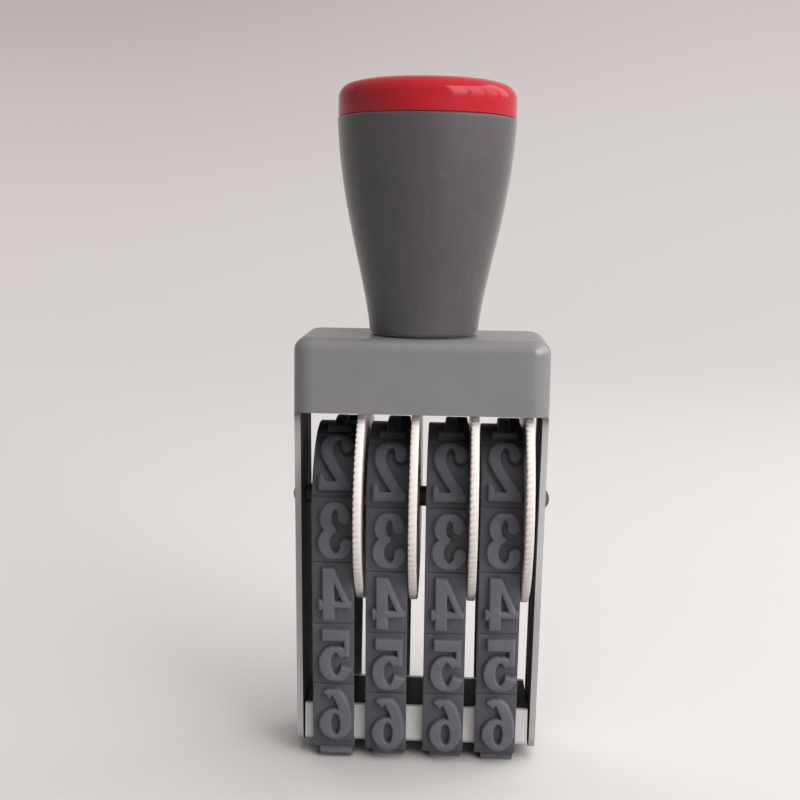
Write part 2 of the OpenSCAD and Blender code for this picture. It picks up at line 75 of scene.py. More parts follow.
# ---------------------------------------------------------------- belt path in the YZ plane
PLATEN_LOW = RELIEF + BELT_T + SEAT_GAP
HUB_M = HUB_R + RUN_GAP + BELT_T / 2
COR_M = PLATEN_R + SEAT_GAP + BELT_T / 2
COR_Y = PLATEN_D / 2 - PLATEN_R
COR_Z = PLATEN_LOW + PLATEN_R
RISE = AXLE_H - COR_Z
SPAN = math.hypot(COR_Y, RISE)
RUN = math.sqrt(SPAN**2 - (HUB_M - COR_M) ** 2)
SLOPE = math.asin((HUB_M - COR_M) / SPAN) - math.atan(COR_Y / RISE)
S_RUN = COR_Y + COR_M * (math.pi / 2 - SLOPE)
S_HUB = S_RUN + RUN
S_TOP = S_HUB + HUB_M * (math.pi / 2 + SLOPE)
LOOP = 2 * S_TOP


def belt_point(s, height):
    """(y, z) of points at distances s along the belt's middle line, at a height above it."""
    w = (np.asarray(s, float) + S_TOP) % LOOP - S_TOP
    u, way = np.abs(w), np.where(w >= 0, 1.0, -1.0)
    up = math.pi / 2 + SLOPE
    turn = np.select(
        [u < COR_Y, u < S_RUN, u < S_HUB],
        [math.pi, math.pi - (u - COR_Y) / COR_M, up],
        up - (u - S_HUB) / HUB_M,
    )
    ny, nz = -np.sin(turn), np.cos(turn)
    along = u - S_RUN
    y = np.select(
        [u < COR_Y, u < S_RUN, u < S_HUB],
        [-u, -COR_Y + COR_M * ny, -COR_Y + COR_M * ny + along * math.cos(up)],
        HUB_M * ny,
    )
    z = np.select(
        [u < COR_Y, u < S_RUN, u < S_HUB],
        [COR_Z - COR_M, COR_Z + COR_M * nz, COR_Z + COR_M * nz + along * math.sin(up)],
        AXLE_H + HUB_M * nz,
    )
    return (y + height * ny) * way, z + height * nz


# ---------------------------------------------------------------- figure outlines, upright at the origin
HX, HY = BELT_W * FIG_WIDE / 2, FIELD_L * FIG_FILL / 2
DRAWN_H = 9.6  # the heights inside a figure are drawn for a figure this tall
FU = HY / (DRAWN_H / 2)
CX, CY = HX - THICK / 2, HY - THIN / 2
TIP_R = THICK * 0.54
BEAD_N, RING_N = 24, 72


def bow(cx, cy, rx, ry, a0, a1, n):
    return [
        (cx + rx * math.cos(a), cy + ry * math.sin(a))
        for a in np.radians(np.linspace(a0, a1, n + 1))
    ]


def oval(cx, cy, rx, ry, n):
    return bow(cx, cy, rx, ry, 0, 360 - 360 / n, n - 1)


def headings(path):
    """Points of a path and the unit direction at each."""
    p = np.array(path, float)
    d = np.vstack([p[1:2] - p[:1], p[2:] - p[:-2], p[-1:] - p[-2:-1]])
    return p, d / np.linalg.norm(d, axis=1)[:, None]


def pen(d):
    """Half the stroke's width: thick where it runs upright, thin where it lies."""
    return (THIN + (THICK - THIN) * np.abs(d[:, 1])) / 2


def stroke(path):
    p, d = headings(path)
    off = pen(d)[:, None] * np.column_stack([-d[:, 1], d[:, 0]])
    return np.vstack([p + off, (p - off)[::-1]])


def bead(path, i, side, r):
    """Round end of a stroke, set off to one side of it."""
    p, d = headings(path)
    c = p[i] + side * (r - pen(d)[i]) * np.array([-d[i, 1], d[i, 0]])
    return oval(c[0], c[1], r, r, BEAD_N)


def bend(p, q, r, n):
    p, q, r = (np.array(x, float) for x in (p, q, r))
    return [
        tuple((1 - t) ** 2 * p + 2 * t * (1 - t) * q + t * t * r)
        for t in np.linspace(0, 1, n + 1)[1:]
    ]


def block(x0, y0, x1, y1):
    return [(x0, y0), (x1, y0), (x1, y1), (x0, y1)]


def ring(cx, cy, rx, ry):
    """Outer outline and the hole in it."""
    return oval(cx, cy, rx, ry, RING_N), oval(cx, cy, rx - THICK, ry - THIN, RING_N)


def figures():
    """Outlines of the fields up the front from the printing face, then of those up the rear."""
    path_2 = bow(0, CY - 2.3 * FU, CX, 2.3 * FU, 172, -15, 20)
    path_3a = bow(-0.1, CY - 2.05 * FU, CX - 0.2, 2.05 * FU, 172, -95, 24)
    path_3b = bow(-0.1, -CY + 2.35 * FU, CX + 0.1, 2.35 * FU, 95, -172, 24)
    path_5 = bow(-0.1, -CY + 2.75 * FU, CX + 0.1, 2.75 * FU, 144, -163, 28)
    eye_6 = 2.95 * FU
    path_6 = bow(0.55, -HY + eye_6, CX + 0.55, CY + HY - eye_6, 66, 176, 20)
    six = [ring(0, -HY + eye_6, HX, eye_6), stroke(path_6)]
    flag = [(-HX, HY - 1.6 * FU), (-HX, HY - 2.3 * FU)]
    one = [
        block(-THICK / 2, -HY, THICK / 2, HY),
        block(-HX * 0.75, -HY, HX * 0.75, -HY + THIN),
        [(-THICK / 2 + 0.1, HY), *flag, (-THICK / 2 + 0.1, HY - 1.7 * FU)],
    ]
    foot, tip = -HY + 1.35 * FU, -HY + 2.5 * FU
    two = [
        stroke(path_2 + bend(path_2[-1], (CX * 0.75, -0.2 * FU), (-CX * 0.95, -HY + FU), 14)),
        bead(path_2, 0, -1, TIP_R),
        [(-HX, -HY), (HX, -HY), (HX, tip), (HX - 0.55, tip), (HX - 1, foot), (-HX, foot)],
    ]
    three = [
        stroke(path_3a), stroke(path_3b),
        bead(path_3a, 0, -1, TIP_R), bead(path_3b, -1, -1, TIP_R),
    ]
    bar = -HY + 2.35 * FU
    four = [
        block(0.15, -HY, 0.15 + THICK, HY),
        block(-HX, bar, HX, bar + THIN * 1.25),
        [(-HX, bar), (-HX + 1.05, bar + 0.1), (0.5, HY - 1.6 * FU), (0.9, HY), (0.15, HY)],
        block(HX - 0.45, -HY + 1.9 * FU, HX, -HY + 3.7 * FU),
    ]
    five = [
        block(-HX + 0.35, HY - THICK, HX - 0.55, HY),
        block(-HX + 0.35, -0.2 * FU, -HX + 0.35 + THIN, HY - 0.3),
        stroke(path_5),
    ]
    seven = [
        block(-HX, HY - THICK, HX, HY),
        block(-HX, HY - 2.6 * FU, -HX + 0.6, HY),
        [
            (HX, HY), (HX, HY - THICK), (1.0, 0.2 * FU), (0.55, -HY),
            (-1.35, -HY), (-0.7, -0.3 * FU), (HX - 1.7, HY - THICK + 0.1),
        ],
    ]
    top, low = 2.35 * FU, 2.75 * FU
    eight = [ring(0, HY - top, HX * 0.9, top), ring(0, -HY + low, HX, low)]
    dash = [block(-HX * 0.75, -THICK / 2, HX * 0.75, THICK / 2)]
    zero = [ring(0, 0, HX, HY)]
    nine = [
        tuple(-np.array(q) for q in p) if isinstance(p, tuple) else -np.array(p) for p in six
    ]
    return [seven, six, five, four, three, two, one], [eight, nine, zero, dash]


# ---------------------------------------------------------------- distance to an outline, on a grid
GRID, EDGE = 0.08, 0.6  # spacing of the grid, and its margin round a figure
SOFTEN = 2  # rounds of smoothing, which round a figure's corners as moulding does
STEP_MIN, STEP_MAX, BENT = 0.04, 0.45, 0.05  # spacing of a contour's points, and the bend that keeps one
TINY = 1e-6


def outline_distance(points, outline):
    """Signed distance to one closed outline: negative inside."""
    a = np.array(outline, float)
    b = np.roll(a, -1, axis=0)
    best, wind = np.full(len(points), np.inf), np.zeros(len(points))
    for p, q in zip(a, b):
        e, w = q - p, points - p
        size = e @ e
        if size < 1e-12:
            continue
        t = np.clip((w @ e) / size, 0, 1)
        best = np.minimum(best, np.linalg.norm(w - t[:, None] * e, axis=1))
        cross = e[0] * w[:, 1] - e[1] * w[:, 0]
        wind += ((p[1] <= points[:, 1]) & (q[1] > points[:, 1]) & (cross > 0)).astype(float)
        wind -= ((p[1] > points[:, 1]) & (q[1] <= points[:, 1]) & (cross < 0)).astype(float)
    return np.where(wind != 0, -best, best)


def figure_grid(shapes):
    """Mirrored figure as a grid of distances, with the grid's corner; x runs across the belt."""
    xs = np.arange(-HX - EDGE, HX + EDGE + GRID, GRID)
    ys = np.arange(-HY - EDGE, HY + EDGE + GRID, GRID)
    gx, gy = np.meshgrid(xs, ys, indexing="ij")
    points = np.column_stack([-gx.ravel(), gy.ravel()])
    d = np.full(len(points), np.inf)
    for shape in shapes:
        if isinstance(shape, tuple):
            outer, hole = (outline_distance(points, outline) for outline in shape)
            d = np.minimum(d, np.maximum(outer, -hole))
        else:
            d = np.minimum(d, outline_distance(points, shape))
    d = d.reshape(gx.shape)
    for _ in range(SOFTEN):
        p = np.pad(d, 1, mode="edge")
        d = 0.5 * d + 0.125 * (p[2:, 1:-1] + p[:-2, 1:-1] + p[1:-1, 2:] + p[1:-1, :-2])
    return xs[0], ys[0], d


def sample(grid, x, y):
    """Distances at the points (x, y), between those of the grid."""
    x0, y0, d = grid
    fx = np.clip((x - x0) / GRID, 0, d.shape[0] - 1.001)
    fy = np.clip((y - y0) / GRID, 0, d.shape[1] - 1.001)
    i, j = fx.astype(int), fy.astype(int)
    a, b = fx - i, fy - j
    return (
        d[i, j] * (1 - a) * (1 - b) + d[i + 1, j] * a * (1 - b)
        + d[i, j + 1] * (1 - a) * b + d[i + 1, j + 1] * a * b
    )


def contours(grid, level):
    """Closed lines where the distance equals level, thinned where they run straight."""
    x0, y0, d = grid
    v = d - level
    v = np.where(np.abs(v) < TINY, TINY, v)
    links, place = {}, {}

    def cross(i, j, k, m):
        key = (i, j, k, m)
        if key not in place:
            t = v[i, j] / (v[i, j] - v[k, m])
            place[key] = (x0 + (i + t * (k - i)) * GRID, y0 + (j + t * (m - j)) * GRID)
        return key

    over = (v > 0).astype(int)
    corners = over[:-1, :-1] + over[1:, :-1] + over[:-1, 1:] + over[1:, 1:]
    for i, j in zip(*np.nonzero((corners > 0) & (corners < 4))):
        i, j = int(i), int(j)
        sides = [
            (i, j, i + 1, j), (i + 1, j, i + 1, j + 1),
            (i, j + 1, i + 1, j + 1), (i, j, i, j + 1),
        ]
        hit = [cross(*s) for s in sides if (v[s[0], s[1]] > 0) != (v[s[2], s[3]] > 0)]
        if len(hit) == 4 and v[i, j] * v[i:i + 2, j:j + 2].mean() >= 0:
            hit = [hit[0], hit[3], hit[1], hit[2]]
        for a, b in zip(hit[::2], hit[1::2]):
            links.setdefault(a, []).append(b)
            links.setdefault(b, []).append(a)
    lines = []
    while links:
        start = next(iter(links))
        loop, here = [start], start
        while links.get(here):
            there = links[here].pop()
            links[there].remove(here)
            if not links[here]:
                del links[here]
            here = there
            if here == start:
                break
            loop.append(here)
        links = {k: n for k, n in links.items() if n}
        pts = [place[k] for k in loop]
        kept = [pts[0]]
        for a, b in zip(pts[1:], pts[2:] + pts[:1]):
            back, on = np.subtract(a, kept[-1]), np.subtract(b, a)
            reach, step = np.hypot(*back), np.hypot(*on)
            bent = abs(back[0] * on[1] - back[1] * on[0]) / max(reach * step, 1e-9)
            if reach > STEP_MIN and (bent > BENT or reach > STEP_MAX):
                kept.append(a)
        if len(kept) > 5:
            lines.append(kept)
    return lines


# ---------------------------------------------------------------- mesh helpers
def smooth(obj, angle=35):
    obj.data.polygons.foreach_set("use_smooth", [True] * len(obj.data.polygons))
    obj.data.set_sharp_from_angle(angle=math.radians(angle))


def make(name, verts_mm, faces, angle=35, merge=0.002, raised=None):
    """A closed mesh object from millimetre points; raised gives each point's share of the relief."""
    bm = bmesh.new()
    layer = None if raised is None else bm.verts.layers.float.new("raised")
    made = [bm.verts.new(Vector(v) * MM) for v in verts_mm]
    if layer is not None:
        for v, value in zip(made, raised):
            v[layer] = value
    for f in faces:
        if len(set(f)) > 2:
            bm.faces.new([made[i] for i in f])
    bmesh.ops.remove_doubles(bm, verts=bm.verts, dist=merge * MM)
    bmesh.ops.dissolve_degenerate(bm, edges=bm.edges, dist=1e-4 * MM)
    bmesh.ops.recalc_face_normals(bm, faces=bm.faces)
    mesh = bpy.data.meshes.new(name)
    bm.to_mesh(mesh)
    bm.free()
    obj = bpy.data.objects.new(name, mesh)
    bpy.context.scene.collection.objects.link(obj)
    smooth(obj, angle)
    return obj


def lathe(name, profile, base_z, count=192, angle=35, lying=False):
    """Profile of (r, h) turned about Z, or about X at height base_z if lying; r = 0 closes it."""
    verts, faces, rows = [], [], []
    for r, h in profile:
        n = 1 if r < TINY else count
        rows.append((len(verts), n))
        for i in range(n):
            a = 2 * math.pi * i / count
            side, up = r * math.cos(a), r * math.sin(a)
            verts.append((h, side, base_z + up) if lying else (side, up, base_z + h))
    last = len(rows) if profile[0][0] > TINY else len(rows) - 1
    for k in range(last):
        (a, na), (b, nb) = rows[k], rows[(k + 1) % len(rows)]
        for i in range(count):
            j = (i + 1) % count
            f = [a + i % na, a + j % na, b + j % nb, b + i % nb]
            faces.append(list(dict.fromkeys(f)))
    return make(name, verts, faces, angle)


# ---------------------------------------------------------------- belts
PATH_ROWS = (7, 20, 42, 44)  # on half the platen, a corner, a straight run and half the hub
GROOVE_W, GROOVE_D, GROOVE_FLAT, GROOVE_POWER = 0.4, 0.24, 1.15, 2.5
GROOVE_ROWS, ROW_CLEAR = (0.0, 0.09, 0.15, 0.2), 0.25
ROUND, EDGE_DROP, EDGE_LINES = 0.2, 0.8, (0, 0.15, 0.5, 1)  # the rolled edge, its lines as shares of ROUND
INNER_EASE, SKIRT_GAP = 0.15, 0.02
FIG_MIDDLE = BELT_W - FIG_MARGIN - HX
# a figure's wall, as (distance out from its outline, height over the belt)
WALL = ((0.2, 0.0), (0.11, 0.42), (0.03, 0.83), (-0.05, 0.93), (-0.15, 0.985), (-0.3, RELIEF))


def path_stations():
    """Distances along the belt that get a row of vertices: close on the bends, wide on the straights."""
    stops = (0, COR_Y, S_RUN, S_HUB, S_TOP)
    parts = [np.linspace(a, b, n) for a, b, n in zip(stops, stops[1:], PATH_ROWS)]
    half = np.unique(np.concatenate(parts))
    return np.unique(np.round(np.concatenate([half, -half[1:-1]]) % LOOP, 5))


def belt_fields(roll, front, rear):
    """(middle, half length, figure) of each field, and of the plain joint that closes the belt."""
    fields = [(k * FIELD_L + roll, FIELD_L / 2, grid) for k, grid in enumerate(front)]
    fields += [(-k * FIELD_L + roll, FIELD_L / 2, grid) for k, grid in enumerate(rear, 1)]
    start, end = (len(front) - 0.5) * FIELD_L, LOOP - (len(rear) + 0.5) * FIELD_L
    return fields + [((start + end) / 2 + roll, (end - start) / 2, None)]


def belt_height(grid, half, u, v):
    """Height over the plain belt: rolled edges, a groove at each end of the field, the figure."""
    side = np.minimum(u, BELT_W - u)
    roll_off = ROUND - np.sqrt(np.maximum(ROUND**2 - np.maximum(ROUND - side, 0) ** 2, 0))
    end = np.maximum(half - np.abs(v), 0)
    depth = GROOVE_D * np.clip(GROOVE_FLAT - (end / (GROOVE_W / 2)) ** GROOVE_POWER, 0, 1)
    low = -np.maximum(roll_off * EDGE_DROP, depth)
    if grid is None:
        return low
    d = sample(grid, u - FIG_MIDDLE, v)
    rise = np.interp(d, [w[0] for w in WALL][::-1], [w[1] for w in WALL][::-1])
    rise = rise * np.clip(side / SKIRT_GAP, 0, 1)
    return low + np.clip(rise / WALL[2][1], 0, 1) * (rise - low)


def belt_field(grid, half, rows_v):
    """One flat field: points (u, v), and triangles along its rows, edges and figure lines."""
    pts, edges = [], []

    def line(points, closed=False):
        first = len(pts)
        pts.extend(Vector(p) for p in points)
        edges.extend((first + i, first + i + 1) for i in range(len(points) - 1))
        if closed:
            edges.append((len(pts) - 1, first))

    for u in (ROUND * share for share in EDGE_LINES):
        line([(u, -half), (u, half)])
        line([(BELT_W - u, -half), (BELT_W - u, half)])
    for v in rows_v:
        line([(0, v), (BELT_W, v)])
    if grid is not None:
        for level, _ in WALL:
            for loop in contours(grid, level):
                line([(min(x + FIG_MIDDLE, BELT_W - SKIRT_GAP), y) for x, y in loop], closed=True)
    out = delaunay_2d_cdt(pts, edges, [], 0, 1e-5)
    return np.array([tuple(p) for p in out[0]]), out[2]


def build_belt(index, front, rear):
    """Outer side field by field, then the edges and the smooth inner side as one strip."""
    left, stations = BELT_LEFTS[index], path_stations()
    verts, faces, rows, raised = [], [], [], []
    for centre, half, grid in belt_fields(ROLLS[index], front, rear):
        v = (stations - centre + LOOP / 2) % LOOP - LOOP / 2
        inner = [x for x in v if abs(x) < half - ROW_CLEAR]
        ends = [way * (half - g) for g in GROOVE_ROWS for way in (-1, 1)]
        rows_v = np.unique(np.round(np.concatenate([ends, inner]), 5))
        rim = belt_height(None, half, np.zeros(len(rows_v)), rows_v)
        rows.extend(((centre + x) % LOOP, h) for x, h in zip(rows_v[:-1], rim))
        flat, tris = belt_field(grid, half, rows_v)
        h = belt_height(grid, half, flat[:, 0], flat[:, 1])
        y, z = belt_point(centre + flat[:, 1], BELT_T / 2 + h)
        first = len(verts)
        verts.extend(zip(left + flat[:, 0], y, z))
        raised.extend(np.clip(h / RELIEF, 0, 1))
        faces.extend([first + i for i in t] for t in tris)
    all_s, rim = np.array(sorted(rows)).T
    chain = [(0, rim), (0, -BELT_T + INNER_EASE), (INNER_EASE, -BELT_T)]
    chain += [(BELT_W - u, h) for u, h in chain[::-1]]
    first, n = len(verts), len(all_s)
    for u, h in chain:
        y, z = belt_point(all_s, BELT_T / 2 + h + np.zeros(n))
        verts.extend(zip(np.full(n, left + u), y, z))
        raised.extend(np.zeros(n))
    for c in range(len(chain) - 1):
        for i in range(n):
            j = (i + 1) % n
            a, b = first + c * n, first + (c + 1) * n
            faces.append([a + i, a + j, b + j, b + i])
    belt = make(f"figure_belt_{index + 1}", verts, faces, angle=38, raised=raised)
    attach(belt, "stamp")
    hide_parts(f"number_belt_{index + 1}")
    return belt


# ---------------------------------------------------------------- thumb wheels
RIDGE_N, RIDGE_SHARE, RIDGE_BITE = 6, 0.16, 0.2  # points, share of KNURL on the rim, cut at its left edge
RIM_CORNER = ((0.0, 0.21), (0.056, 0.048), (0.16, 0.0))  # (in from the face, in from the rim)
RIM_W, DISH, DISH_SLOPE = 1.45, 0.18, 0.25
COLLAR_W, COLLAR_SLOPE, BOSS_R = 0.9, 0.2, 5.0
NOTCHES, NOTCH_R, NOTCH_OUT, NOTCH_END, NOTCH_LEAN = 12, 1.1, 0.3, 0.4, 0.02
HUB_EASE, HUB_BORE_EASE, FACE_BORE_EASE = 0.25, 0.3, 0.25


def build_wheel(index):
    """Knurled disc with rounded ridges and eased rims, and its notched hub."""
    count = RIDGES * RIDGE_N
    a = 2 * np.pi * np.arange(count) / count
    valley = 0.5 - 0.5 * np.cos(a * RIDGES)
    knurl = WHEEL_R - RIDGE_SHARE * KNURL * valley
    bite = RIDGE_BITE * valley  # the ridges show most at the left edge of the rim
    pitch = 2 * math.pi / NOTCHES
    off = np.abs(a % pitch - pitch / 2)  # angle from the nearest notch
    notch_r = HUB_R + NOTCH_OUT
    deep = np.maximum(NOTCH_R**2 - (notch_r * np.sin(off)) ** 2, 0)
    notch = np.minimum(HUB_R, notch_r * np.cos(off) - np.sqrt(deep))
    notch = np.where(deep > 0, notch, HUB_R)
    hub_x = -BELT_W - SIDE_GAP
    plain = np.ones(count)
    bore, boss, hub, rim = (r * plain for r in (AXLE_R + BORE_GAP, BOSS_R, HUB_R, WHEEL_R - RIM_W))
    left = [(bite * share + x, knurl - r) for share, (x, r) in zip((0.5, 1, 1), RIM_CORNER)]
    right = [(DISC_T - x, knurl - r) for x, r in RIM_CORNER[::-1]]
    chain = [
        (hub_x + HUB_BORE_EASE, bore), (hub_x, bore + HUB_BORE_EASE),
        (hub_x, notch - HUB_EASE), (hub_x + HUB_EASE, notch),
        (-NOTCH_END, notch), (NOTCH_LEAN - NOTCH_END, hub),
        (0.0, hub), (0.0, hub + COLLAR_W), (DISH, hub + COLLAR_W + COLLAR_SLOPE),
        (DISH, rim - DISH_SLOPE), (0.0, rim), *left,
        *right, (DISC_T, rim), (DISC_T - DISH, rim - DISH_SLOPE),
        (DISC_T - DISH, boss + COLLAR_SLOPE), (DISC_T, boss),
        (DISC_T, bore + FACE_BORE_EASE), (DISC_T - FACE_BORE_EASE, bore),
    ]
    face_x = BELT_LEFTS[index] + BELT_W + SIDE_GAP
    verts, faces = [], []
    for x, r in chain:
        verts.extend(zip(face_x + x * plain, r * np.cos(a), AXLE_H + r * np.sin(a)))
    for c in range(len(chain)):
        p, q = c * count, (c + 1) % len(chain) * count
        for i in range(count):
            j = (i + 1) % count
            faces.append([p + i, p + j, q + j, q + i])
    wheel = make(f"thumb_wheel_{index + 1}", verts, faces, angle=40)
    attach(wheel, f"wheel_{index + 1}")
    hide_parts(f"number_wheel_{index + 1}")
    return wheel


# ---------------------------------------------------------------- grip and red cap
FLARE_WAVE, FLARE_POWER = 0.75, 0.8
GRIP_BORE_R = SCREW_R + 0.2


def grip_r(h):
    """The grip's flare: an S-curve mixed with a straight cone."""
    q = h / GRIP_H
    flare = FLARE_WAVE / 2 * (1 - math.cos(math.pi * q**FLARE_POWER)) + (1 - FLARE_WAVE) * q
    return GRIP_LOW_R + (GRIP_TOP_R - GRIP_LOW_R) * flare


def arc(cx, cz, r, a0, a1, n):
    return [(cx + r * math.cos(a), cz + r * math.sin(a)) for a in np.radians(np.linspace(a0, a1, n))]


def build_grip():
    low, top, mouth, floor, bevel, seat = 0.4, 0.3, 0.2, 0.4, 0.25, 0.1  # eased edges
    gap, inset = 0.3, 0.7  # the shadow gap over the frame
    foot, bore = grip_r(gap + low), GRIP_BORE_R
    profile = [(bore, bevel), (bore + bevel, 0.0), (foot - inset - seat, 0.0), (foot - inset, seat)]
    profile += [(foot - inset, gap), *arc(foot - low, gap + low, low, -90, 0, 6)]
    profile += [(grip_r(h), h) for h in np.linspace(gap + low, GRIP_H - top, 90)[1:]]
    profile += arc(grip_r(GRIP_H - top) - top, GRIP_H - top, top, 0, 90, 6)[1:]
    profile += [(WELL_R + mouth, GRIP_H), (WELL_R, GRIP_H - mouth)]
    profile += [(WELL_R, FLOOR_H + floor), (WELL_R - floor, FLOOR_H)]
    profile += [(bore + bevel, FLOOR_H), (bore, FLOOR_H - bevel)]
    grip = lathe("grip_body", profile, PLATE_Z + SEAT_GAP, 200, 50)
    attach(grip, "stamp")
    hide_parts("handle")
    return grip


def build_lid():
    edge, low, r = 2.4, 0.3, GRIP_TOP_R - 0.1
    dome = GRIP_TOP_R**2 / (2 * LID_DOME)
    plug, deep, wall, roof = WELL_R - BORE_GAP, 3.5, 1.35, 0.8  # hollow plug in the grip's well
    inner, lead_w, lead_h = 0.2, 0.3, 0.4
    profile = [(0, -roof), (plug - wall, -roof), (plug - wall, inner - deep)]
    profile += [(plug - wall + inner, -deep), (plug - lead_w, -deep), (plug, lead_h - deep), (plug, 0.0)]
    profile += arc(r - low, low, low, -90, 0, 7)
    profile += arc(r - edge, LID_H - edge, edge, 0, 84, 26)
    reach = profile[-1][0]
    crown = LID_H + LID_DOME - dome
    profile += [(x, crown + math.sqrt(dome**2 - x * x)) for x in np.linspace(reach - 0.5, 0, 14)]
    lid = lathe("red_lid", profile, PLATE_Z + GRIP_H + 3 * SEAT_GAP, 200, 50)
    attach(lid, "stamp")
    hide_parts("handle_cap")
    return lid


# ---------------------------------------------------------------- axle and side rivets
AXLE_HEAD, AXLE_DOME, HEAD_GAP, SHOULDER_GAP = 1.15, 2.2, 0.06, 0.1
NECK_R, ROD_EASE = AXLE_R - 0.5, 0.1
RIVET_R, RIVET_H, RIVET_DOME, RIVET_EASE = 3.2, 0.6, 9.0, 0.06
SHANK_R, SHANK_EASE = 1.5, 0.2


def domed(r, height, ball, base):
    """Points from the rim of a riveted head to the middle of its dome."""
    return [(x, base + height - ball + math.sqrt(ball**2 - x * x)) for x in np.linspace(r, 0, 14)]


def build_axle():
    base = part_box("axle")[1][0] / MM - AXLE_HEAD
    rod = base - HEAD_GAP - SHEET_T - SHOULDER_GAP
    eased = AXLE_R - ROD_EASE
    half = [(AXLE_R, rod - ROD_EASE), (eased, rod), (NECK_R, rod), (NECK_R, base), (eased, base)]
    half += [(AXLE_R, base + ROD_EASE), *domed(AXLE_R, AXLE_HEAD, AXLE_DOME, base)]
    axle = lathe("axle_rod", [(r, -x) for r, x in half[::-1]] + half, AXLE_H, 64, lying=True)
    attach(axle, "stamp")
    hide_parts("axle")
    return axle


def build_rivet(side, way):
    low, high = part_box(f"platen_rivet_{side}")
    ends = sorted(abs(x) / MM for x in (low[0], high[0]))
    start, base = ends[0], ends[1] - RIVET_H
    middle = (low[2] + high[2]) / 2 / MM
    profile = [(0, start), (SHANK_R - SHANK_EASE, start), (SHANK_R, start + SHANK_EASE)]
    profile += [(SHANK_R, base), (RIVET_R - RIVET_EASE, base)]
    profile += domed(RIVET_R, RIVET_H, RIVET_DOME, base)
    profile = [(r, way * x) for r, x in profile]
    rivet = lathe(f"side_rivet_{side}", profile, middle, 96, lying=True)
    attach(rivet, "stamp")
    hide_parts(f"platen_rivet_{side}")
    return rivet


# ---------------------------------------------------------------- materials
LIP_LOW = (PLATE_Z - LIP_H) * MM
INNER_SIDES = (("X", 0.015), ("Y", 0.009), ("Z", 0.066))  # how far out the frame's inner faces lie
TOP_SHADE_LOW, TOP_SHADE_HIGH = 0.034, 0.057  # heights between which the painted shade under the frame's top plate begins on the belts
